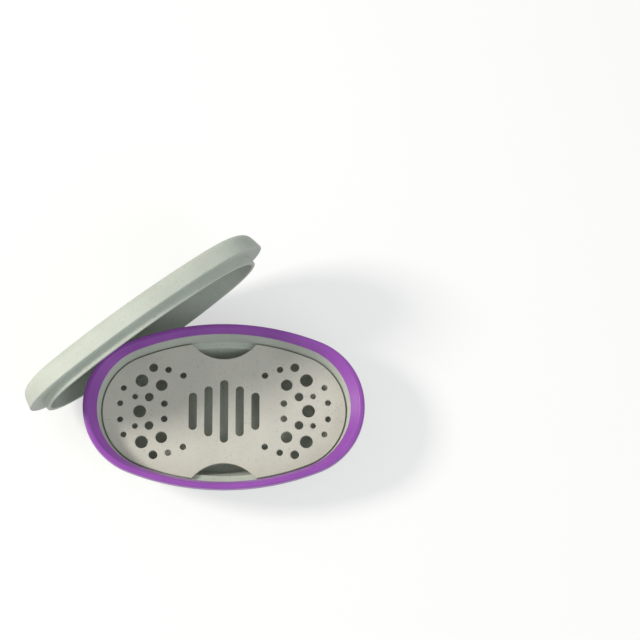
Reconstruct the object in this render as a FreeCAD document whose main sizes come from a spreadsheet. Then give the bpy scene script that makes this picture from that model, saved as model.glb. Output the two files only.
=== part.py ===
"""Travel soap box: a deep oval base with a soft seal ring, a lift-out drain insert and a press-on lid.

Frame: millimetres, +Z up, the origin at the centre of the foot that the base stands on, +X along the oval.
The lid is off. It stands on its long side behind the base, with its mouth turned to the base's end.
"""
import FreeCAD, Part
import math
import os
import re
import Sketcher

DRIVING_SIZES = {
    # seal ring, the widest outline of the box
    "ring_length": 118.4,
    "ring_width": 70.6,
    "ring_end_share": 0.841,
    "ring_height": 4.6,
    "ring_round": 0.9,
    "ring_foot_round": 0.7,
    # the ring's breadth round the mouth, and the sloped seat between its lip and the mouth
    "breadth_at_ends": 5.9,
    "breadth_at_sides": 3.6,
    "mouth_end_share": 0.839,
    "lip_width": 2.2,
    "seat_drop": 3.0,
    # base shell
    "rim_height": 20.0,
    "rim_setback": 0.7,
    "wall_draft": 22.0,
    "foot_round": 4.0,
    "bowl_draft": 12.0,
    "floor_thickness": 2.4,
    "sump_round": 2.5,
    # tongue on the rim that the ring grips
    "tongue_inset": 1.0,
    "tongue_thickness": 1.0,
    "tongue_height": 1.8,
    "groove_clearance": 0.1,
    # ledge and drain insert
    "ledge_height": 11.6,
    "ledge_width": 2.4,
    "insert_thickness": 2.0,
    "insert_clearance": 0.3,
    "insert_round": 0.4,
    "notch_radius": 17.5,
    "notch_depth": 7.3,
    "slot_width": 3.4,
    "slot_pitch": 6.6,
    "slot_longest": 27.0,
    "slot_step": 5.5,
    # lid
    "lid_height": 9.0,
    "lid_draft": 12.0,
    "lid_round": 5.0,
    "lid_edge_round": 0.6,
    "lid_top": 2.4,
    "collar_height": 4.0,
    "collar_thickness": 1.8,
    "collar_clearance": 0.3,
    "collar_round": 0.5,
    "panel_inset": 9.0,
    "panel_groove_width": 1.2,
    "panel_groove_depth": 0.5,
    # where the lid stands
    "stand_turn": 35.0,
    "stand_lean": 2.0,
    "stand_roll": 8.0,
    "stand_shift": -9.0,
    "stand_gap": 0.4,
    "stand_clearance": 0.3,
}

# Drain holes of one quarter of the insert: name, place as shares of half the mouth, diameter.
DRAIN_HOLES = (
    ("outer", 0.559, 0.590, 3.7),
    ("shoulder", 0.441, 0.562, 2.7),
    ("inner", 0.323, 0.483, 2.7),
    ("large", 0.651, 0.416, 5.4),
    ("broad", 0.495, 0.353, 4.9),
    ("rim", 0.794, 0.315, 2.5),
    ("tiny", 0.704, 0.199, 2.4),
    ("medium", 0.593, 0.192, 3.7),
    ("end", 0.822, 0.110, 2.5),
    ("near", 0.473, 0.103, 2.8),
)
MIDLINE_HOLE = ("middle", 0.668, 5.4)
SLOT_RANKS = (-2, -1, 0, 1, 2)

SAME_LEVEL = 1e-4
STAND_TOLERANCE = 0.004
UP = FreeCAD.Vector(0, 0, 1)

doc = FreeCAD.newDocument("TravelSoapBox")
sheet = doc.addObject("Spreadsheet::Sheet", "Sizes")


def fill_sheet():
    """One row for each driving size, and for each drain hole's place and diameter."""
    cells = dict(DRIVING_SIZES)
    for name, along, across, diameter in DRAIN_HOLES:
        cells[name + "_hole_along"] = along
        cells[name + "_hole_across"] = across
        cells[name + "_hole_diameter"] = diameter
    name, along, diameter = MIDLINE_HOLE
    cells[name + "_hole_along"] = along
    cells[name + "_hole_diameter"] = diameter
    for row, (alias, value) in enumerate(cells.items(), start=1):
        sheet.set("A%d" % row, alias)
        sheet.set("B%d" % row, str(value))
        sheet.setAlias("B%d" % row, alias)
    doc.recompute()


def size(words):
    """The value of an expression of the sheet's names, written without the sheet's own name."""
    return float(sheet.evalExpression(words))


def bound(words):
    """The same expression as other objects write it, with Sizes. before each name."""
    return re.sub(r"\b(?!tan\b|atan\b|deg\b)[a-z]\w*", r"Sizes.\g<0>", words)


def drafted(draft, height):
    """How far a wall of that draft leans in over that height."""
    return "tan(%s * 1 deg) * (%s)" % (draft, height)


class Oval:
    """An oval of four tangent arcs, its length, width and end radius as expressions."""

    def __init__(self, length, width, end_radius):
        self.length = length
        self.width = width
        self.end_radius = end_radius

    def inset(self, distance):
        """The same oval, moved in by that distance all round."""
        return Oval(
            "%s - 2 * (%s)" % (self.length, distance),
            "%s - 2 * (%s)" % (self.width, distance),
            "%s - (%s)" % (self.end_radius, distance),
        )

    def outset(self, distance):
        """The same oval, moved out by that distance all round."""
        return self.inset("0 - (%s)" % distance)


def new_body(name):
    body = doc.addObject("PartDesign::Body", name)
    body.Label = name
    return body


def sketch_at(body, name, height):
    """A sketch parallel to the body's XY plane at a bound height."""
    sketch = body.newObject("Sketcher::SketchObject", name)
    plane = [feature for feature in body.Origin.OriginFeatures if feature.Role == "XY_Plane"][0]
    sketch.AttachmentSupport = [(plane, "")]
    sketch.MapMode = "FlatFace"
    sketch.setExpression("AttachmentOffset.Base.z", bound(height))
    doc.recompute()
    return sketch


def dimension(sketch, name, words, *constraint):
    """A constraint whose value is bound to an expression of the sheet."""
    index = sketch.addConstraint(Sketcher.Constraint(*constraint, size(words)))
    sketch.renameConstraint(index, name)
    sketch.setExpression("Constraints." + name, bound(words))


def draw_oval(sketch, name, oval):
    """Two end arcs and two side arcs, tangent where they meet, about the sketch's origin."""
    half_length = size(oval.length) / 2
    half_width = size(oval.width) / 2
    end_radius = size(oval.end_radius)
    end_centre = half_length - end_radius
    side_radius = (end_centre ** 2 + half_width ** 2 - end_radius ** 2) / (2 * (half_width - end_radius))
    side_centre = half_width - side_radius
    meet = math.atan2(-side_centre, end_centre)

    def arc(x, y, radius, start, end):
        return Part.ArcOfCircle(Part.Circle(FreeCAD.Vector(x, y, 0), UP, radius), start, end)

    right, top, left, bottom = sketch.addGeometry([
        arc(end_centre, 0, end_radius, -meet, meet),
        arc(0, side_centre, side_radius, meet, math.pi - meet),
        arc(-end_centre, 0, end_radius, math.pi - meet, math.pi + meet),
        arc(0, -side_centre, side_radius, math.pi + meet, 2 * math.pi - meet),
    ], False)
    crest = sketch.addGeometry(Part.Point(FreeCAD.Vector(0, half_width, 0)), True)
    ring = (right, top, left, bottom)
    for here, after in zip(ring, ring[1:] + ring[:1]):
        sketch.addConstraint(Sketcher.Constraint("Tangent", here, 2, after, 1))
    sketch.addConstraint(Sketcher.Constraint("PointOnObject", right, 3, -1))
    sketch.addConstraint(Sketcher.Constraint("Symmetric", right, 3, left, 3, -1, 1))
    sketch.addConstraint(Sketcher.Constraint("Equal", right, left))
    sketch.addConstraint(Sketcher.Constraint("Equal", top, bottom))
    sketch.addConstraint(Sketcher.Constraint("PointOnObject", crest, 1, -2))
    sketch.addConstraint(Sketcher.Constraint("PointOnObject", crest, 1, top))
    to_end = "(%s) / 2 - (%s)" % (oval.length, oval.end_radius)
    dimension(sketch, name + "_end_centre", to_end, "DistanceX", -1, 1, right, 3)
    dimension(sketch, name + "_end_radius", oval.end_radius, "Radius", right)
    dimension(sketch, name + "_half_width", "(%s) / 2" % oval.width, "DistanceY", -1, 1, crest, 1)


def oval_sketch(body, name, height, *ovals):
    sketch = sketch_at(body, name, height)
    for rank, oval in enumerate(ovals):
        draw_oval(sketch, "oval%d" % rank, oval)
    doc.recompute()
    return sketch


def feature(kind, body, name, sketch, length, downward=False, draft=None):
    """A pad or a pocket of bound length. With a draft it narrows as it goes."""
    made = body.newObject("PartDesign::" + kind, name)
    made.Profile = sketch
    made.setExpression("Length", bound(length))
    made.Reversed = downward if kind == "Pad" else not downward
    if draft:
        made.setExpression("TaperAngle", bound("%s * -1 deg" % draft))
    doc.recompute()
    body.Tip = made
    return made


def level_edges(shape, height, pick):
    """Names of the edges that lie at one height and that pick accepts by their bound box."""
    names = []
    for rank, edge in enumerate(shape.Edges, start=1):
        box = edge.BoundBox
        flat = abs(box.ZMin - height) < SAME_LEVEL and abs(box.ZMax - height) < SAME_LEVEL
        if flat and pick(edge):
            names.append("Edge%d" % rank)
    return names


def round_edges(body, name, radius, height, pick=lambda edge: True):
    """A fillet of bound radius on the edges of the body's tip at one height."""
    tip = body.Tip
    names = level_edges(tip.Shape, size(height), pick)
    if not names:
        raise RuntimeError("no edge to round for " + name)
    fillet = body.newObject("PartDesign::Fillet", name)
    fillet.Base = (tip, names)
    fillet.setExpression("Radius", bound(radius))
    doc.recompute()
    body.Tip = fillet
    return fillet


MOUTH_LENGTH = "(ring_length - 2 * breadth_at_ends)"
MOUTH_WIDTH = "(ring_width - 2 * breadth_at_sides)"
RING = Oval("ring_length", "ring_width", "ring_end_share * ring_width / 2")
MOUTH = Oval(MOUTH_LENGTH, MOUTH_WIDTH, "mouth_end_share * %s / 2" % MOUTH_WIDTH)
RIM = RING.inset("rim_setback")
LEDGE_SEAT = MOUTH.inset(drafted("bowl_draft", "rim_height - ledge_height"))
SUMP = LEDGE_SEAT.inset("ledge_width")
TONGUE_IN = MOUTH.outset("tongue_inset")
TONGUE_OUT = TONGUE_IN.outset("tongue_thickness")
COLLAR = MOUTH.inset("collar_clearance")
COLLAR_BORE = COLLAR.inset("collar_thickness")
LID_TOP = RING.inset(drafted("lid_draft", "lid_height"))
RING_TOP = "rim_height + ring_height"


def make_base_shell():
    """Flared oval shell with a sump, a ledge for the insert and a tongue round its rim."""
    body = new_body("base_shell")
    outside = oval_sketch(body, "rim_outline", "rim_height", RIM)
    feature("Pad", body, "outer_wall", outside, "rim_height", downward=True, draft="wall_draft")
    round_edges(body, "foot_edge", "foot_round", "0")
    mouth = oval_sketch(body, "bowl_outline", "rim_height", MOUTH)
    feature("Pocket", body, "bowl", mouth, "rim_height - ledge_height", downward=True, draft="bowl_draft")
    sump = oval_sketch(body, "sump_outline", "ledge_height", SUMP)
    depth = "ledge_height - floor_thickness"
    feature("Pocket", body, "sump", sump, depth, downward=True, draft="wall_draft")
    round_edges(body, "sump_edge", "sump_round", "floor_thickness")
    tongue = oval_sketch(body, "tongue_outline", "rim_height", TONGUE_OUT, TONGUE_IN)
    feature("Pad", body, "tongue", tongue, "tongue_height")
    return body


def make_seal_ring():
    """Soft ring pressed over the tongue, with a sloped seat that leads the lid's collar in."""
    body = new_body("seal_ring")
    outline = oval_sketch(body, "ring_outline", "rim_height", RING)
    feature("Pad", body, "ring_band", outline, "ring_height")
    round_edges(body, "ring_top_edge", "ring_round", RING_TOP)
    round_edges(body, "ring_foot_edge", "ring_foot_round", "rim_height")
    mouth = oval_sketch(body, "mouth_outline", "rim_height", MOUTH)
    feature("Pocket", body, "ring_mouth", mouth, "ring_height", downward=False)
    seat = body.newObject("PartDesign::SubtractiveLoft", "ring_seat")
    seat.Profile = oval_sketch(body, "lip_outline", RING_TOP, RING.inset("lip_width"))
    seat.Sections = [oval_sketch(body, "seat_outline", RING_TOP + " - seat_drop", MOUTH)]
    seat.Ruled = True
    doc.recompute()
    body.Tip = seat
    groove = oval_sketch(
        body, "groove_outline", "rim_height",
        TONGUE_OUT.outset("groove_clearance"), TONGUE_IN.inset("groove_clearance"),
    )
    feature("Pocket", body, "groove", groove, "tongue_height + groove_clearance", downward=False)
    return body


def draw_circle(sketch, name, x_words, y_words, radius_words, mirror_x=1, mirror_y=1):
    """A circle of bound place and radius in one quarter of the sketch."""
    x = size(x_words) * mirror_x
    y = size(y_words) * mirror_y
    circle = sketch.addGeometry(Part.Circle(FreeCAD.Vector(x, y, 0), UP, size(radius_words)), False)
    across = ("DistanceX", -1, 1, circle, 3) if mirror_x > 0 else ("DistanceX", circle, 3, -1, 1)
    dimension(sketch, name + "_x", x_words, *across)
    if mirror_y == 0:
        sketch.addConstraint(Sketcher.Constraint("PointOnObject", circle, 3, -1))
    else:
        along = ("DistanceY", -1, 1, circle, 3) if mirror_y > 0 else ("DistanceY", circle, 3, -1, 1)
        dimension(sketch, name + "_y", y_words, *along)
    dimension(sketch, name + "_radius", radius_words, "Radius", circle)


def draw_slot(sketch, name, rank):
    """A round-ended slot across the insert, shorter the further it stands from the middle."""
    radius = "slot_width / 2"
    reach = "(slot_longest - %d * slot_step - slot_width) / 2" % abs(rank)
    place = "%d * slot_pitch" % abs(rank)
    x = size("slot_pitch") * rank
    y = size(reach)
    r = size(radius)
    top_circle = Part.Circle(FreeCAD.Vector(x, y, 0), UP, r)
    low_circle = Part.Circle(FreeCAD.Vector(x, -y, 0), UP, r)
    top, left, low, right = sketch.addGeometry([
        Part.ArcOfCircle(top_circle, 0, math.pi),
        Part.LineSegment(FreeCAD.Vector(x - r, y, 0), FreeCAD.Vector(x - r, -y, 0)),
        Part.ArcOfCircle(low_circle, math.pi, 2 * math.pi),
        Part.LineSegment(FreeCAD.Vector(x + r, -y, 0), FreeCAD.Vector(x + r, y, 0)),
    ], False)
    ring = (top, left, low, right)
    for here, after in zip(ring, ring[1:] + ring[:1]):
        sketch.addConstraint(Sketcher.Constraint("Tangent", here, 2, after, 1))
    sketch.addConstraint(Sketcher.Constraint("Equal", top, low))
    sketch.addConstraint(Sketcher.Constraint("Symmetric", top, 3, low, 3, -1))
    dimension(sketch, name + "_radius", radius, "Radius", top)
    dimension(sketch, name + "_reach", reach, "DistanceY", -1, 1, top, 3)
    if rank == 0:
        sketch.addConstraint(Sketcher.Constraint("PointOnObject", top, 3, -2))
    else:
        across = ("DistanceX", -1, 1, top, 3) if rank > 0 else ("DistanceX", top, 3, -1, 1)
        dimension(sketch, name + "_place", place, *across)


def make_drain_insert():
    """Flat tray on the ledge, with drain holes, middle slots and two finger notches."""
    body = new_body("drain_insert")
    edge = LEDGE_SEAT.inset("insert_clearance")
    outline = oval_sketch(body, "insert_outline", "ledge_height", edge)
    feature("Pad", body, "insert_plate", outline, "insert_thickness")

    notches = sketch_at(body, "notch_outline", "ledge_height")
    centre = "(%s) / 2 - notch_depth + notch_radius" % edge.width
    for side, name in ((1, "back_notch"), (-1, "front_notch")):
        middle = FreeCAD.Vector(0, side * size(centre), 0)
        circle = notches.addGeometry(Part.Circle(middle, UP, size("notch_radius")), False)
        notches.addConstraint(Sketcher.Constraint("PointOnObject", circle, 3, -2))
        reach = ("DistanceY", -1, 1, circle, 3) if side > 0 else ("DistanceY", circle, 3, -1, 1)
        dimension(notches, name + "_centre", centre, *reach)
        dimension(notches, name + "_radius", "notch_radius", "Radius", circle)
    doc.recompute()
    feature("Pocket", body, "finger_notches", notches, "insert_thickness")
    round_edges(body, "insert_edge", "insert_round", "ledge_height + insert_thickness")

    drains = sketch_at(body, "drain_outline", "ledge_height")
    for name, along, across, diameter in DRAIN_HOLES:
        for mirror_x, end in ((1, "right"), (-1, "left")):
            for mirror_y, side in ((1, "back"), (-1, "front")):
                hole = name + "_hole"
                draw_circle(
                    drains, "_".join((name, end, side)), hole + "_along * %s / 2" % MOUTH_LENGTH,
                    hole + "_across * %s / 2" % MOUTH_WIDTH, hole + "_diameter / 2", mirror_x, mirror_y,
                )
    hole = MIDLINE_HOLE[0] + "_hole"
    for mirror_x, end in ((1, "right"), (-1, "left")):
        draw_circle(
            drains, MIDLINE_HOLE[0] + "_" + end, hole + "_along * %s / 2" % MOUTH_LENGTH, "0",
            hole + "_diameter / 2", mirror_x, 0,
        )
    doc.recompute()
    feature("Pocket", body, "drain_holes", drains, "insert_thickness")

    slots = sketch_at(body, "slot_outline", "ledge_height")
    for rank in SLOT_RANKS:
        draw_slot(slots, "slot%d" % (rank - SLOT_RANKS[0]), rank)
    doc.recompute()
    feature("Pocket", body, "drain_slots", slots, "insert_thickness")
    return body


def make_lid():
    """Shallow drafted cover with a collar that plugs the ring, modelled shut on the base."""
    body = new_body("lid")
    shoulder = oval_sketch(body, "shoulder_outline", RING_TOP, RING)
    feature("Pad", body, "cover", shoulder, "lid_height", draft="lid_draft")
    round_edges(body, "cover_edge", "lid_round", RING_TOP + " + lid_height")
    round_edges(body, "shoulder_edge", "lid_edge_round", RING_TOP)
    collar = oval_sketch(body, "collar_outline", RING_TOP, COLLAR)
    feature("Pad", body, "collar", collar, "collar_height", downward=True)
    lowest = RING_TOP + " - collar_height"
    bore = oval_sketch(body, "hollow_outline", lowest, COLLAR_BORE)
    feature("Pocket", body, "hollow", bore, "collar_height + lid_height - lid_top", downward=False)
    round_edges(body, "collar_edge", "collar_round", lowest)
    panel = LID_TOP.inset("panel_inset")
    top = RING_TOP + " + lid_height"
    groove = oval_sketch(body, "panel_outline", top, panel, panel.inset("panel_groove_width"))
    feature("Pocket", body, "panel_groove", groove, "panel_groove_depth", downward=True)
    return body


def stand_lid(lid, base, ring):
    """Turns the lid on to its long side behind the base and moves it up until it nearly touches.

    It stands on the edge of its shoulder, and the end of the base reaches a little way into its mouth.
    """
    tip = FreeCAD.Rotation(FreeCAD.Vector(1, 0, 0), size("stand_lean") - 90)
    middle = UP * size(RING_TOP)
    roll = FreeCAD.Rotation(UP, -size("stand_roll"))
    turn = FreeCAD.Rotation(UP, size("stand_turn"))
    attitude = turn.multiply(tip).multiply(roll)
    facing = turn.multVec(FreeCAD.Vector(0, 1, 0))
    sideways = turn.multVec(FreeCAD.Vector(1, 0, 0))
    fixed = Part.makeCompound([base.Shape, ring.Shape])
    cover = lid.Shape.copy()

    def place_at(distance, height):
        spot = facing * distance + sideways * size("stand_shift") + UP * height
        return FreeCAD.Placement(spot - attitude.multVec(middle), attitude)

    cover.Placement = place_at(0, 0)
    height = size("stand_clearance") - cover.optimalBoundingBox(False).ZMin
    near = 0.0
    far = size("ring_length")
    closest = size("stand_gap")
    while far - near > STAND_TOLERANCE:
        distance = (near + far) / 2
        cover.Placement = place_at(distance, height)
        gap = cover.distToShape(fixed)[0]
        if gap < closest:
            near = distance
        else:
            far = distance
    lid.Placement = place_at(far, height)
    doc.recompute()


def check_and_write(bodies):
    """Stops on a failed object, then writes one file for each sub-part."""
    for item in doc.Objects:
        if "Invalid" in item.State or "Error" in item.State:
            raise RuntimeError("%s failed: %s" % (item.Name, item.State))
    os.makedirs("parts", exist_ok=True)
    for body in bodies:
        shape = body.Shape
        if shape.isNull() or not shape.isValid() or len(shape.Solids) != 1:
            raise RuntimeError("%s is not one valid solid" % body.Label)
        shape.exportStep("parts/%s.step" % body.Label)
        print("%s: %.0f mm3" % (body.Label, shape.Volume))


fill_sheet()
base_shell = make_base_shell()
seal_ring = make_seal_ring()
drain_insert = make_drain_insert()
lid = make_lid()
stand_lid(lid, base_shell, seal_ring)
check_and_write((base_shell, seal_ring, drain_insert, lid))
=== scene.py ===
"""Travel soap box: the finished look of an oval base, its seal ring, its drain insert and its lid.

Each moulded piece is a section carried round an oval of four tangent arcs. The sizes are the ones that
the solid model has, in metres, with +Z up and the origin at the centre of the foot.
"""
import math

import bmesh
import bpy
from mathutils import Matrix, Vector


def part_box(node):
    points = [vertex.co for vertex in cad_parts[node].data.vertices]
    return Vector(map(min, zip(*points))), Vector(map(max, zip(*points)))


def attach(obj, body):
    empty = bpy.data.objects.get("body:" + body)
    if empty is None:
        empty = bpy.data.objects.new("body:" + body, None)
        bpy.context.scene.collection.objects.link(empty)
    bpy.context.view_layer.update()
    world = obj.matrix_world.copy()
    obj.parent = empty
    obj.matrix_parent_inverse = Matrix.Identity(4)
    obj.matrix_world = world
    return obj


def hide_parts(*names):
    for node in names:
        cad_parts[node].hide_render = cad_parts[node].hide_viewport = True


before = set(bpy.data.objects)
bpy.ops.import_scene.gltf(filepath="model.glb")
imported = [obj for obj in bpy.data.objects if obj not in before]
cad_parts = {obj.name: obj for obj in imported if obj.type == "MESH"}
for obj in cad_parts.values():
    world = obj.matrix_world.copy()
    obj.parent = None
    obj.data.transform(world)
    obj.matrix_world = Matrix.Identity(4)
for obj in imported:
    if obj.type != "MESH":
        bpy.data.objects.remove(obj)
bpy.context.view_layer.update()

bl_info = {
    "name": "Travel Soap Box",
    "version": (1, 0, 0),
    "blender": (4, 5, 0),
    "location": "View3D > Sidebar > Soap Box",
    "description": "Builds the moulded pieces of an oval travel soap box and a plain stage for them",
    "category": "Add Mesh",
}

MM = 0.001
ARC_STEPS = 64
ROUND_STEPS = 6
NOTCH_STEPS = 48
HOLE_STEPS = 40
SLOT_END_STEPS = 20
MERGE_DISTANCE = 0.001 * MM
CREASE_ANGLE = math.radians(35)
# End radius of the last loop before a flat middle is capped.
MIDDLE_RADIUS = 4 * MM
# How far a section runs level before it passes from one oval to the other.
LEVEL_RUN = 0.8 * MM


def length_property(name, description, millimetres):
    """A length, given in millimetres."""
    return bpy.props.FloatProperty(
        name=name, description=description, default=millimetres * MM, min=0.0, precision=5,
        subtype="DISTANCE", unit="LENGTH",
    )


def angle_property(name, description, degrees):
    """An angle, given in degrees."""
    return bpy.props.FloatProperty(
        name=name, description=description, default=math.radians(degrees), subtype="ANGLE", unit="ROTATION",
    )


def share_property(name, description, share):
    """A share from nought to one."""
    return bpy.props.FloatProperty(
        name=name, description=description, default=share, min=0.0, max=1.0, precision=3, subtype="FACTOR",
    )


def colour_property(name, description, red, green, blue):
    """A colour as linear red, green and blue."""
    return bpy.props.FloatVectorProperty(
        name=name, description=description, default=(red, green, blue), size=3, min=0.0, max=1.0,
        subtype="COLOR",
    )


class SoapBoxSizes(bpy.types.PropertyGroup):
    """Sizes of the moulded pieces."""

    ring_length: length_property("Ring length", "Length of the seal ring's outline", 118.4)
    ring_width: length_property("Ring width", "Width of the seal ring's outline", 70.6)
    ring_end_share: share_property("Ring end share", "End radius as a share of half the ring width", 0.841)
    ring_height: length_property("Ring height", "Height of the seal ring", 4.6)
    ring_round: length_property("Ring round", "Round on the ring's upper outer edge", 0.9)
    ring_foot_round: length_property("Ring foot round", "Round on the ring's lower outer edge", 0.7)
    lip_round: length_property("Lip round", "Round between the ring's lip and its sloped seat", 0.85)
    breadth_at_ends: length_property("Breadth at ends", "Breadth of the ring at the oval's ends", 5.9)
    breadth_at_sides: length_property("Breadth at sides", "Breadth of the ring at the oval's sides", 3.6)
    mouth_end_share: share_property("Mouth end share", "End radius as a share of half the mouth width", 0.839)
    lip_width: length_property("Lip width", "Width of the ring's lip, outside the sloped seat", 2.2)
    seat_drop: length_property("Seat drop", "How far the sloped seat falls", 3.0)
    rim_height: length_property("Rim height", "Height of the base's rim, where the ring sits", 20.0)
    rim_setback: length_property("Rim setback", "How far the rim lies inside the ring's outline", 0.7)
    tongue_setback: length_property("Tongue setback", "Distance from the mouth to the tongue", 1.0)
    tongue_thickness: length_property("Tongue thickness", "Thickness of the tongue under the ring", 1.0)
    tongue_height: length_property("Tongue height", "Height of the tongue above the rim", 1.8)
    tongue_clearance: length_property("Tongue clearance", "Gap round the tongue in the ring's groove", 0.1)
    wall_draft: angle_property("Wall draft", "Slope of the base's outer wall and of its sump", 22.0)
    foot_round: length_property("Foot round", "Round between the outer wall and the foot", 4.0)
    bowl_draft: angle_property("Bowl draft", "Slope of the wall above the ledge", 12.0)
    floor_thickness: length_property("Floor", "Thickness of the base's floor", 2.4)
    sump_round: length_property("Sump round", "Round between the sump's wall and its floor", 2.5)
    ledge_height: length_property("Ledge height", "Height of the ledge that carries the insert", 11.6)
    ledge_width: length_property("Ledge width", "Width of the ledge", 2.4)
    insert_thickness: length_property("Insert thickness", "Thickness of the drain insert", 2.0)
    insert_clearance: length_property("Insert clearance", "Gap between the insert and the wall", 0.3)
    notch_radius: length_property("Notch radius", "Radius of the two finger notches", 17.5)
    notch_depth: length_property("Notch depth", "How far a finger notch reaches into the insert", 7.3)
    slot_width: length_property("Slot width", "Width of a middle drain slot", 3.4)
    slot_pitch: length_property("Slot pitch", "Distance from one slot to the next", 6.6)
    slot_longest: length_property("Longest slot", "Length of the middle slot", 27.0)
    slot_step: length_property("Slot step", "How much shorter each further slot is", 5.5)
    lid_height: length_property("Lid height", "Height of the lid's cover", 9.0)
    lid_draft: angle_property("Lid draft", "Slope of the lid's outer wall", 12.0)
    lid_round: length_property("Lid round", "Round between the lid's wall and its top", 5.0)
    lid_edge_round: length_property("Lid edge round", "Round on the lid's shoulder", 0.6)
    lid_top: length_property("Lid top", "Thickness of the lid's top", 2.4)
    collar_height: length_property("Collar height", "Height of the collar that plugs the ring", 4.0)
    collar_thickness: length_property("Collar thickness", "Thickness of the collar", 1.8)
    collar_clearance: length_property("Collar clearance", "Gap between the collar and the mouth", 0.3)
    collar_round: length_property("Collar round", "Round on the collar's lip", 0.5)
    panel_inset: length_property("Panel inset", "Distance from the lid top's edge to its panel groove", 9.0)
    groove_width: length_property("Groove width", "Width of the panel groove", 1.2)
    groove_depth: length_property("Groove depth", "Depth of the panel groove", 0.5)
    edge_break: length_property("Edge break", "Small round on every other moulded edge", 0.25)


class SoapBoxStance(bpy.types.PropertyGroup):
    """How the lid stands behind the base."""

    turn: angle_property("Turn", "How far the lid is turned about the vertical", 35.0)
    lean: angle_property("Lean", "How far the lid leans forward", 2.0)
    roll: angle_property("Roll", "How far the lid is rolled round on its side", 8.0)


class SoapBoxColours(bpy.types.PropertyGroup):
    """Colours of the finishes."""

    shell: colour_property("Shell", "Moulded shell plastic", 0.55, 0.59, 0.53)
    shell_fleck: colour_property("Shell fleck", "Fine flecks in the shell plastic", 0.38, 0.38, 0.33)
    insert: colour_property("Insert", "Moulded insert plastic", 0.63, 0.61, 0.55)
    insert_fleck: colour_property("Insert fleck", "Fine flecks in the insert plastic", 0.42, 0.40, 0.34)
    seal: colour_property("Seal", "Silicone of the seal ring", 0.350, 0.088, 0.490)
    seal_deep: colour_property("Seal shade", "Darker tone in the silicone", 0.295, 0.070, 0.430)
    floor: colour_property("Floor", "Plain floor under the object", 0.50, 0.50, 0.50)


# Drain holes of one quarter of the insert: place as shares of half the mouth, diameter in millimetres.
DRAIN_HOLES = {
    "outer": (0.559, 0.590, 3.7),
    "shoulder": (0.441, 0.562, 2.7),
    "inner": (0.323, 0.483, 2.7),
    "large": (0.651, 0.416, 5.4),
    "broad": (0.495, 0.353, 4.9),
    "rim": (0.794, 0.315, 2.5),
    "tiny": (0.704, 0.199, 2.4),
    "medium": (0.593, 0.192, 3.7),
    "end": (0.822, 0.110, 2.5),
    "near": (0.473, 0.103, 2.8),
}
MIDLINE_HOLE = (0.668, 5.4)
SLOT_RANKS = (-2, -1, 0, 1, 2)
FLOOR_HALF_WIDTH = 6.0
FLOOR_DROP = 0.2 * MM
# How much the floor is lifted to white where the camera sees it.
FLOOR_GLOW = 0.52
SKY_COLOUR = (0.95, 1.0, 0.98, 1.0)
SKY_STRENGTH = 0.48
LAMP_TARGET = (0.0, 0.0, 0.02)
CAMERA_ELEVATION = math.radians(78)
CAMERA_DISTANCE = 2.5
CAMERA_TARGET = Vector((40.4, 37.4, 22.0)) * MM
CAMERA_LENS = 334
CAMERA_SENSOR = 36


class Oval:
    """An oval of four tangent arcs. Insets of it share the arcs' centres."""

    def __init__(self, length, width, end_radius):
        self.length = length
        self.width = width
        self.end_radius = end_radius

    def inset(self, distance):
        return Oval(self.length - 2 * distance, self.width - 2 * distance, self.end_radius - distance)

    def points(self):
        """Points round the outline, counter-clockwise from the start of the right-hand arc."""
        half_width = self.width / 2
        end_centre = self.length / 2 - self.end_radius
        rise = half_width ** 2 - self.end_radius ** 2
        side_radius = (end_centre ** 2 + rise) / (2 * (half_width - self.end_radius))
        side_centre = half_width - side_radius
        meet = math.atan2(-side_centre, end_centre)
        arcs = (
            (end_centre, 0, self.end_radius, -meet, meet),
            (0, side_centre, side_radius, meet, math.pi - meet),
            (-end_centre, 0, self.end_radius, math.pi - meet, math.pi + meet),
            (0, -side_centre, side_radius, math.pi + meet, 2 * math.pi - meet),
        )
        found = []
        for x, y, radius, start, end in arcs:
            for step in range(ARC_STEPS):
                angle = start + (end - start) * step / ARC_STEPS
                found.append((x + radius * math.cos(angle), y + radius * math.sin(angle)))
        return found


def rounded(corners):
    """A section's corners (distance in, height, round) as points, each round as a short arc."""
    points = []
    for rank, (x, z, radius) in enumerate(corners):
        here = Vector((x, z))
        if radius == 0 or rank in (0, len(corners) - 1):
            points.append((x, z))
            continue
        before = (Vector(corners[rank - 1][:2]) - here).normalized()
        after = (Vector(corners[rank + 1][:2]) - here).normalized()
        half = before.angle(after) / 2
        reach = radius / math.tan(half)
        middle = here + (before + after).normalized() * (radius / math.sin(half))
        first = here + before * reach - middle
        last = here + after * reach - middle
        sweep = first.angle_signed(last)
        for step in range(ROUND_STEPS + 1):
            turned = Matrix.Rotation(-sweep * step / ROUND_STEPS, 2) @ first
            points.append(tuple(middle + turned))
    return points


def carried(section, oval):
    """The loops of points that a rounded section makes round an oval."""
    return [[(x, y, height) for x, y in oval.inset(inward).points()] for inward, height in rounded(section)]


def shell_mesh(name, loops, closed):
    """A mesh of quads between loops. An open stack is capped at both ends, a closed one joins round."""
    mesh = bpy.data.meshes.new(name)
    form = bmesh.new()
    rows = [[form.verts.new(point) for point in loop] for loop in loops]
    pairs = list(zip(rows, rows[1:]))
    if closed:
        pairs.append((rows[-1], rows[0]))
    for low, high in pairs:
        for here in range(len(low)):
            after = (here + 1) % len(low)
            form.faces.new((low[here], low[after], high[after], high[here]))
    if not closed:
        form.faces.new(list(reversed(rows[0])))
        form.faces.new(rows[-1])
    bmesh.ops.remove_doubles(form, verts=form.verts, dist=MERGE_DISTANCE)
    bmesh.ops.recalc_face_normals(form, faces=form.faces)
    form.to_mesh(mesh)
    form.free()
    return mesh


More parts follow.
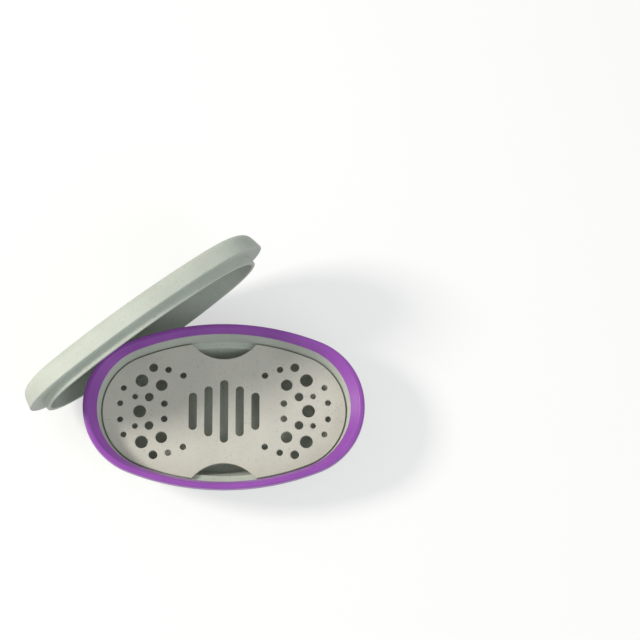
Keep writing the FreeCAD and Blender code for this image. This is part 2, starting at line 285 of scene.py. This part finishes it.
def add_piece(mesh, node, body, material):
    """Puts a mesh in the scene as the finished look of one solid."""
    piece = bpy.data.objects.new(node + "_look", mesh)
    bpy.context.scene.collection.objects.link(piece)
    for face in mesh.polygons:
        face.use_smooth = True
    mesh.materials.clear()
    mesh.materials.append(material)
    sharpen(piece)
    even = piece.modifiers.new("even_shading", "WEIGHTED_NORMAL")
    even.keep_sharp = True
    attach(piece, body)
    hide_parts(node)
    return piece


def sharpen(piece):
    """Marks creases sharper than the small rounds, so that flat faces shade flat."""
    form = bmesh.new()
    form.from_mesh(piece.data)
    for edge in form.edges:
        edge.smooth = len(edge.link_faces) == 2 and edge.calc_face_angle() < CREASE_ANGLE
    form.to_mesh(piece.data)
    form.free()


def ovals():
    """The outlines that the pieces share."""
    sizes = bpy.context.scene.soap_box_sizes
    ring = Oval(sizes.ring_length, sizes.ring_width, sizes.ring_end_share * sizes.ring_width / 2)
    length = sizes.ring_length - 2 * sizes.breadth_at_ends
    width = sizes.ring_width - 2 * sizes.breadth_at_sides
    mouth = Oval(length, width, sizes.mouth_end_share * width / 2)
    return ring, mouth


def middle_inset(oval):
    """How far in a flat face's last loop lies, short of where the end arcs would vanish."""
    return oval.end_radius - MIDDLE_RADIUS


def new_material(name):
    """A new material, with its nodes, its links and its shader."""
    material = bpy.data.materials.new(name)
    material.use_nodes = True
    nodes = material.node_tree.nodes
    return material, nodes, material.node_tree.links, nodes["Principled BSDF"]


def noise(nodes, links, place, scale, detail):
    """The level of a noise texture that stays with the piece."""
    texture = nodes.new("ShaderNodeTexNoise")
    texture.inputs["Scale"].default_value = scale
    texture.inputs["Detail"].default_value = detail
    links.new(place.outputs["Object"], texture.inputs["Vector"])
    return texture.outputs["Fac"]


def ramp(nodes, links, level, low, high):
    """A mask from black to white between two levels of a texture."""
    steps = nodes.new("ShaderNodeValToRGB")
    steps.color_ramp.elements[0].position = low
    steps.color_ramp.elements[1].position = high
    links.new(level, steps.inputs["Fac"])
    return steps.outputs["Color"]


def tinted(colour, share):
    """A colour made paler or darker by a share."""
    return tuple(min(1.0, part * share) for part in colour)


def mixed(nodes, links, factor, first, second):
    """Two colours, each a socket or a plain colour, mixed by a factor."""
    mix = nodes.new("ShaderNodeMix")
    mix.data_type = "RGBA"
    links.new(factor, mix.inputs["Factor"])
    for socket, colour in ((mix.inputs["A"], first), (mix.inputs["B"], second)):
        if isinstance(colour, bpy.types.NodeSocket):
            links.new(colour, socket)
        else:
            socket.default_value = (*colour, 1.0)
    return mix.outputs["Result"]


def spread(nodes, links, level, low, high):
    """A texture's level carried to a range of roughness."""
    span = nodes.new("ShaderNodeMapRange")
    span.inputs["To Min"].default_value = low
    span.inputs["To Max"].default_value = high
    links.new(level, span.inputs["Value"])
    return span.outputs["Result"]


def bump(nodes, links, shader, level, strength, distance):
    """Relief in a shader's surface from a texture's level."""
    relief = nodes.new("ShaderNodeBump")
    relief.inputs["Strength"].default_value = strength
    relief.inputs["Distance"].default_value = distance
    links.new(level, relief.inputs["Height"])
    links.new(relief.outputs["Normal"], shader.inputs["Normal"])


def fibre_plastic(name, colour, fleck):
    """Matte moulded plastic with plant fibre in it: soft clouding, fine flecks and a dry, grainy skin."""
    material, nodes, links, shader = new_material(name)
    place = nodes.new("ShaderNodeTexCoord")
    cloud = noise(nodes, links, place, scale=55, detail=3)
    cloud_mask = ramp(nodes, links, cloud, low=0.35, high=0.65)
    ground = mixed(nodes, links, cloud_mask, tinted(colour, 0.96), tinted(colour, 1.05))
    dark_grain = noise(nodes, links, place, scale=1500, detail=2)
    dark_mask = ramp(nodes, links, dark_grain, low=0.64, high=0.74)
    flecked = mixed(nodes, links, dark_mask, ground, fleck)
    pale_grain = noise(nodes, links, place, scale=1900, detail=1)
    pale_mask = ramp(nodes, links, pale_grain, low=0.68, high=0.80)
    links.new(mixed(nodes, links, pale_mask, flecked, tinted(colour, 1.25)), shader.inputs["Base Color"])
    links.new(spread(nodes, links, cloud, low=0.52, high=0.66), shader.inputs["Roughness"])
    skin = noise(nodes, links, place, scale=2600, detail=3)
    bump(nodes, links, shader, skin, strength=0.10, distance=0.2 * MM)
    shader.inputs["Specular IOR Level"].default_value = 0.35
    return material


def shell_finish():
    """The finish that the base and the lid share, made once."""
    colours = bpy.context.scene.soap_box_colours
    made = bpy.data.materials.get("shell_finish")
    return made or fibre_plastic("shell_finish", colours.shell, colours.shell_fleck)


def seal_silicone(name, colour, shade):
    """Satin silicone: an even purple with soft clouding, a faint moulded skin and a soft sheen."""
    material, nodes, links, shader = new_material(name)
    place = nodes.new("ShaderNodeTexCoord")
    cloud = noise(nodes, links, place, scale=70, detail=3)
    cloud_mask = ramp(nodes, links, cloud, low=0.3, high=0.7)
    links.new(mixed(nodes, links, cloud_mask, shade, colour), shader.inputs["Base Color"])
    links.new(spread(nodes, links, cloud, low=0.30, high=0.42), shader.inputs["Roughness"])
    skin = noise(nodes, links, place, scale=1800, detail=2)
    bump(nodes, links, shader, skin, strength=0.06, distance=0.2 * MM)
    shader.inputs["Sheen Weight"].default_value = 0.10
    shader.inputs["Sheen Roughness"].default_value = 0.5
    return material


class SOAPBOX_OT_base_shell(bpy.types.Operator):
    """Makes the flared oval base with its sump, its ledge and the tongue under the ring"""

    bl_idname = "soap_box.base_shell"
    bl_label = "Base Shell"

    def execute(self, context):
        sizes = context.scene.soap_box_sizes
        ring, mouth = ovals()
        small = sizes.edge_break
        lean = math.tan(sizes.wall_draft) * sizes.rim_height
        outside = [
            (middle_inset(ring), 0, 0),
            (sizes.rim_setback + lean, 0, sizes.foot_round),
            (sizes.rim_setback, sizes.rim_height, small),
            (sizes.rim_setback + LEVEL_RUN, sizes.rim_height, 0),
        ]
        step_in = math.tan(sizes.bowl_draft) * (sizes.rim_height - sizes.ledge_height)
        depth = sizes.ledge_height - sizes.floor_thickness
        sump_edge = step_in + sizes.ledge_width
        sump_foot = sump_edge + math.tan(sizes.wall_draft) * depth
        inside = [
            (-LEVEL_RUN, sizes.rim_height, 0),
            (0, sizes.rim_height, small),
            (step_in, sizes.ledge_height, small),
            (sump_edge, sizes.ledge_height, small),
            (sump_foot, sizes.floor_thickness, sizes.sump_round),
            (middle_inset(mouth), sizes.floor_thickness, 0),
        ]
        far = -sizes.tongue_setback - sizes.tongue_thickness
        near = -sizes.tongue_setback
        crest = sizes.rim_height + sizes.tongue_height
        tongue = [
            (far, sizes.rim_height, 0),
            (far, crest, small),
            (near, crest, small),
            (near, sizes.rim_height, 0),
        ]
        loops = carried(outside, ring) + carried(tongue, mouth) + carried(inside, mouth)
        mesh = shell_mesh("base_shell_look", loops, False)
        add_piece(mesh, "base_shell", "base", shell_finish())
        return {"FINISHED"}


class SOAPBOX_OT_seal_ring(bpy.types.Operator):
    """Makes the soft seal ring with its rounded lip and its sloped seat"""

    bl_idname = "soap_box.seal_ring"
    bl_label = "Seal Ring"

    def execute(self, context):
        sizes = context.scene.soap_box_sizes
        colours = context.scene.soap_box_colours
        ring, mouth = ovals()
        low = sizes.rim_height
        high = low + sizes.ring_height
        small = sizes.edge_break
        outside = [
            (LEVEL_RUN, low, 0),
            (0, low, sizes.ring_foot_round),
            (0, high, sizes.ring_round),
            (sizes.lip_width, high, sizes.lip_round),
            (sizes.lip_width + small, high - 2 * small, 0),
        ]
        inside = [
            (-small / 4, high - sizes.seat_drop + small / 2, 0),
            (0, high - sizes.seat_drop, small / 4),
            (0, low, small),
            (-LEVEL_RUN, low, 0),
        ]
        near = sizes.tongue_clearance - sizes.tongue_setback
        far = near - sizes.tongue_thickness - 2 * sizes.tongue_clearance
        crest = low + sizes.tongue_height + sizes.tongue_clearance
        groove = [(near, low, 0), (near, crest, small), (far, crest, small), (far, low, 0)]
        loops = carried(outside, ring) + carried(inside, mouth) + carried(groove, mouth)
        material = seal_silicone("seal_finish", colours.seal, colours.seal_deep)
        add_piece(shell_mesh("seal_ring_look", loops, True), "seal_ring", "base", material)
        return {"FINISHED"}


class SOAPBOX_OT_drain_insert(bpy.types.Operator):
    """Makes the flat drain insert with its holes, its slots and its two finger notches"""

    bl_idname = "soap_box.drain_insert"
    bl_label = "Drain Insert"

    def execute(self, context):
        sizes = context.scene.soap_box_sizes
        colours = context.scene.soap_box_colours
        mouth = ovals()[1]
        step_in = math.tan(sizes.bowl_draft) * (sizes.rim_height - sizes.ledge_height)
        small = sizes.edge_break
        edge = mouth.inset(step_in + sizes.insert_clearance)
        outlines = [self.notched(edge.inset(small), sizes, small)]
        for along, across, diameter in DRAIN_HOLES.values():
            for x in (along, -along):
                for y in (across, -across):
                    radius = diameter / 2 * MM + small
                    outlines.append(circle(x * mouth.length / 2, y * mouth.width / 2, radius))
        along, diameter = MIDLINE_HOLE
        for x in (along, -along):
            outlines.append(circle(x * mouth.length / 2, 0, diameter / 2 * MM + small))
        for rank in SLOT_RANKS:
            reach = (sizes.slot_longest - abs(rank) * sizes.slot_step - sizes.slot_width) / 2
            outlines.append(slot_outline(rank * sizes.slot_pitch, reach, sizes.slot_width / 2 + small))
        mesh = plate_mesh("drain_insert_look", outlines, sizes.insert_thickness, small)
        mesh.transform(Matrix.Translation((0, 0, sizes.ledge_height + sizes.insert_thickness / 2)))
        material = fibre_plastic("insert_finish", colours.insert, colours.insert_fleck)
        add_piece(mesh, "drain_insert", "insert", material)
        return {"FINISHED"}

    @staticmethod
    def notched(edge, sizes, small):
        """The oval with a round bite out of each long side."""
        radius = sizes.notch_radius + small
        middle = edge.width / 2 + small - sizes.notch_depth + sizes.notch_radius
        outline = []
        in_notch = False
        for x, y in edge.points():
            side = math.copysign(1, y)
            bitten = math.hypot(x, y - side * middle) < radius
            if bitten and not in_notch:
                start = x
            if not bitten and in_notch:
                outline += bite(start, x, side, middle, radius)
            if not bitten:
                outline.append((x, y))
            in_notch = bitten
        return outline


def bite(start, end, side, middle, radius):
    """Points of a finger notch, from where the outline enters it to where it leaves."""
    found = []
    first = math.asin(start / radius)
    last = math.asin(end / radius)
    for step in range(1, NOTCH_STEPS):
        angle = first + (last - first) * step / NOTCH_STEPS
        found.append((radius * math.sin(angle), side * (middle - radius * math.cos(angle))))
    return found


def circle(x, y, radius):
    """Points of a drain hole."""
    turns = [2 * math.pi * step / HOLE_STEPS for step in range(HOLE_STEPS)]
    return [(x + radius * math.cos(turn), y + radius * math.sin(turn)) for turn in turns]


def slot_outline(x, reach, radius):
    """A round-ended slot that runs across the insert."""
    top = [math.pi * step / SLOT_END_STEPS for step in range(SLOT_END_STEPS + 1)]
    ends = [(x + radius * math.cos(turn), reach + radius * math.sin(turn)) for turn in top]
    return ends + [(x - radius * math.cos(turn), -reach - radius * math.sin(turn)) for turn in top]


def plate_mesh(name, outlines, thickness, edge_round):
    """A flat plate with holes and rounded edges, from a filled and bevelled flat curve."""
    curve = bpy.data.curves.new(name, "CURVE")
    curve.dimensions = "2D"
    curve.fill_mode = "BOTH"
    curve.extrude = thickness / 2 - edge_round
    curve.bevel_depth = edge_round
    curve.bevel_resolution = 2
    for outline in outlines:
        spline = curve.splines.new("POLY")
        spline.points.add(len(outline) - 1)
        for point, (x, y) in zip(spline.points, outline):
            point.co = (x, y, 0, 1)
        spline.use_cyclic_u = True
    holder = bpy.data.objects.new(name, curve)
    bpy.context.scene.collection.objects.link(holder)
    bpy.context.view_layer.update()
    mesh = bpy.data.meshes.new_from_object(holder.evaluated_get(bpy.context.evaluated_depsgraph_get()))
    bpy.data.objects.remove(holder)
    bpy.data.curves.remove(curve)
    form = bmesh.new()
    form.from_mesh(mesh)
    bmesh.ops.remove_doubles(form, verts=form.verts, dist=MERGE_DISTANCE)
    bmesh.ops.recalc_face_normals(form, faces=form.faces)
    form.to_mesh(mesh)
    form.free()
    mesh.name = name
    return mesh


class SOAPBOX_OT_lid(bpy.types.Operator):
    """Makes the lid with its collar and the groove round its top, standing on its side"""

    bl_idname = "soap_box.lid"
    bl_label = "Lid"

    def execute(self, context):
        sizes = context.scene.soap_box_sizes
        stance = context.scene.soap_box_stance
        ring, mouth = ovals()
        small = sizes.edge_break
        top_inset = math.tan(sizes.lid_draft) * sizes.lid_height
        groove = top_inset + sizes.panel_inset
        groove_low = sizes.lid_height - sizes.groove_depth
        soft = sizes.groove_width / 8
        outside = [
            (middle_inset(ring), sizes.lid_height, 0),
            (groove + sizes.groove_width, sizes.lid_height, soft),
            (groove + sizes.groove_width, groove_low, soft),
            (groove, groove_low, soft),
            (groove, sizes.lid_height, soft),
            (top_inset, sizes.lid_height, sizes.lid_round),
            (0, 0, sizes.lid_edge_round),
            (LEVEL_RUN, 0, 0),
        ]
        bore = sizes.collar_clearance + sizes.collar_thickness
        inner_top = sizes.lid_height - sizes.lid_top
        inside = [
            (-LEVEL_RUN, 0, 0),
            (sizes.collar_clearance, 0, small),
            (sizes.collar_clearance, -sizes.collar_height, sizes.collar_round),
            (bore, -sizes.collar_height, sizes.collar_round),
            (bore, inner_top, small),
            (middle_inset(mouth), inner_top, 0),
        ]
        loops = carried(outside, ring) + carried(inside, mouth)
        mesh = shell_mesh("lid_look", loops, False)
        mesh.transform(self.standing(mesh, stance))
        add_piece(mesh, "lid", "lid", shell_finish())
        return {"FINISHED"}

    @staticmethod
    def standing(mesh, stance):
        """The lid's turn on to its side, moved to where the solid lid stands."""
        turn = Matrix.Rotation(stance.turn, 4, "Z")
        tip = Matrix.Rotation(stance.lean - math.pi / 2, 4, "X")
        roll = Matrix.Rotation(-stance.roll, 4, "Z")
        attitude = turn @ tip @ roll
        points = [attitude @ vertex.co for vertex in mesh.vertices]
        lowest = Vector([min(point[axis] for point in points) for axis in range(3)])
        highest = Vector([max(point[axis] for point in points) for axis in range(3)])
        low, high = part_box("lid")
        return Matrix.Translation((low + high) / 2 - (lowest + highest) / 2) @ attitude


def aim(thing, target):
    """Turns a lamp or a camera to face a place."""
    thing.rotation_euler = (Vector(target) - thing.location).to_track_quat("-Z", "Y").to_euler()


def soft_lamp(name, place, width, watts, tint):
    """A round soft lamp that shines on the object."""
    lamp = bpy.data.lights.new(name, "AREA")
    lamp.shape = "DISK"
    lamp.size = width
    lamp.energy = watts
    lamp.color = tint
    holder = bpy.data.objects.new(name, lamp)
    holder.location = place
    bpy.context.scene.collection.objects.link(holder)
    aim(holder, LAMP_TARGET)


def seen_directly(nodes, links, strength):
    """A strength for what the camera sees, straight or in gloss, and nought for the light that is thrown."""
    path = nodes.new("ShaderNodeLightPath")
    total = path.outputs["Is Camera Ray"]
    for ray in ("Is Glossy Ray", "Is Transmission Ray"):
        larger = nodes.new("ShaderNodeMath")
        larger.operation = "MAXIMUM"
        links.new(total, larger.inputs[0])
        links.new(path.outputs[ray], larger.inputs[1])
        total = larger.outputs["Value"]
    scaled = nodes.new("ShaderNodeMath")
    scaled.operation = "MULTIPLY"
    scaled.inputs[1].default_value = strength
    links.new(total, scaled.inputs[0])
    return scaled.outputs["Value"]


class SOAPBOX_OT_stage(bpy.types.Operator):
    """Makes the plain floor, the soft lamps and the camera"""

    bl_idname = "soap_box.stage"
    bl_label = "Stage"

    def execute(self, context):
        scene = context.scene
        self.make_floor(scene)
        self.make_light(scene)
        self.make_camera(scene)
        scene.view_settings.view_transform = "Standard"
        return {"FINISHED"}

    @staticmethod
    def make_floor(scene):
        mesh = bpy.data.meshes.new("floor")
        form = bmesh.new()
        bmesh.ops.create_grid(form, x_segments=2, y_segments=2, size=FLOOR_HALF_WIDTH)
        form.to_mesh(mesh)
        form.free()
        floor = bpy.data.objects.new("floor", mesh)
        floor.location.z = -FLOOR_DROP
        scene.collection.objects.link(floor)
        material, nodes, links, shader = new_material("floor_paint")
        shader.inputs["Base Color"].default_value = (*scene.soap_box_colours.floor, 1.0)
        shader.inputs["Roughness"].default_value = 0.9
        shader.inputs["Specular IOR Level"].default_value = 0.1
        shader.inputs["Emission Color"].default_value = (1.0, 1.0, 1.0, 1.0)
        links.new(seen_directly(nodes, links, FLOOR_GLOW), shader.inputs["Emission Strength"])
        mesh.materials.append(material)

    @staticmethod
    def make_light(scene):
        world = bpy.data.worlds.new("studio")
        world.use_nodes = True
        background = world.node_tree.nodes["Background"]
        background.inputs["Color"].default_value = SKY_COLOUR
        background.inputs["Strength"].default_value = SKY_STRENGTH
        scene.world = world
        soft_lamp("key_lamp", place=(-0.90, 0.16, 0.76), width=0.30, watts=9.5, tint=(1.0, 0.95, 0.87))
        soft_lamp("fill_lamp", place=(0.7, -0.6, 0.9), width=0.9, watts=3.0, tint=(0.94, 0.97, 1.0))

    @staticmethod
    def make_camera(scene):
        camera = bpy.data.cameras.new("photo_camera")
        camera.lens = CAMERA_LENS
        camera.sensor_width = CAMERA_SENSOR
        holder = bpy.data.objects.new("photo_camera", camera)
        back = Vector((0.0, -math.cos(CAMERA_ELEVATION), math.sin(CAMERA_ELEVATION)))
        holder.location = CAMERA_TARGET + back * CAMERA_DISTANCE
        aim(holder, CAMERA_TARGET)
        scene.collection.objects.link(holder)
        scene.camera = holder


class SOAPBOX_PT_panel(bpy.types.Panel):
    """Lists the pieces and the sizes of the soap box"""

    bl_idname = "SOAPBOX_PT_panel"
    bl_label = "Travel Soap Box"
    bl_space_type = "VIEW_3D"
    bl_region_type = "UI"
    bl_category = "Soap Box"

    def draw(self, context):
        for operator in OPERATORS:
            self.layout.operator(operator.bl_idname)
        for name, group in GROUPS.items():
            column = self.layout.column(align=True)
            for value in group.__annotations__:
                column.prop(getattr(context.scene, name), value)


OPERATORS = (
    SOAPBOX_OT_base_shell,
    SOAPBOX_OT_seal_ring,
    SOAPBOX_OT_drain_insert,
    SOAPBOX_OT_lid,
    SOAPBOX_OT_stage,
)
GROUPS = {
    "soap_box_sizes": SoapBoxSizes,
    "soap_box_stance": SoapBoxStance,
    "soap_box_colours": SoapBoxColours,
}


def register():
    for name, group in GROUPS.items():
        bpy.utils.register_class(group)
        setattr(bpy.types.Scene, name, bpy.props.PointerProperty(type=group))
    for kind in (*OPERATORS, SOAPBOX_PT_panel):
        bpy.utils.register_class(kind)


def unregister():
    for kind in (SOAPBOX_PT_panel, *reversed(OPERATORS)):
        bpy.utils.unregister_class(kind)
    for name, group in reversed(GROUPS.items()):
        delattr(bpy.types.Scene, name)
        bpy.utils.unregister_class(group)


def main():
    register()
    bpy.ops.soap_box.base_shell()
    bpy.ops.soap_box.seal_ring()
    bpy.ops.soap_box.drain_insert()
    bpy.ops.soap_box.lid()
    bpy.ops.soap_box.stage()


if __name__ == "__main__":
    main()
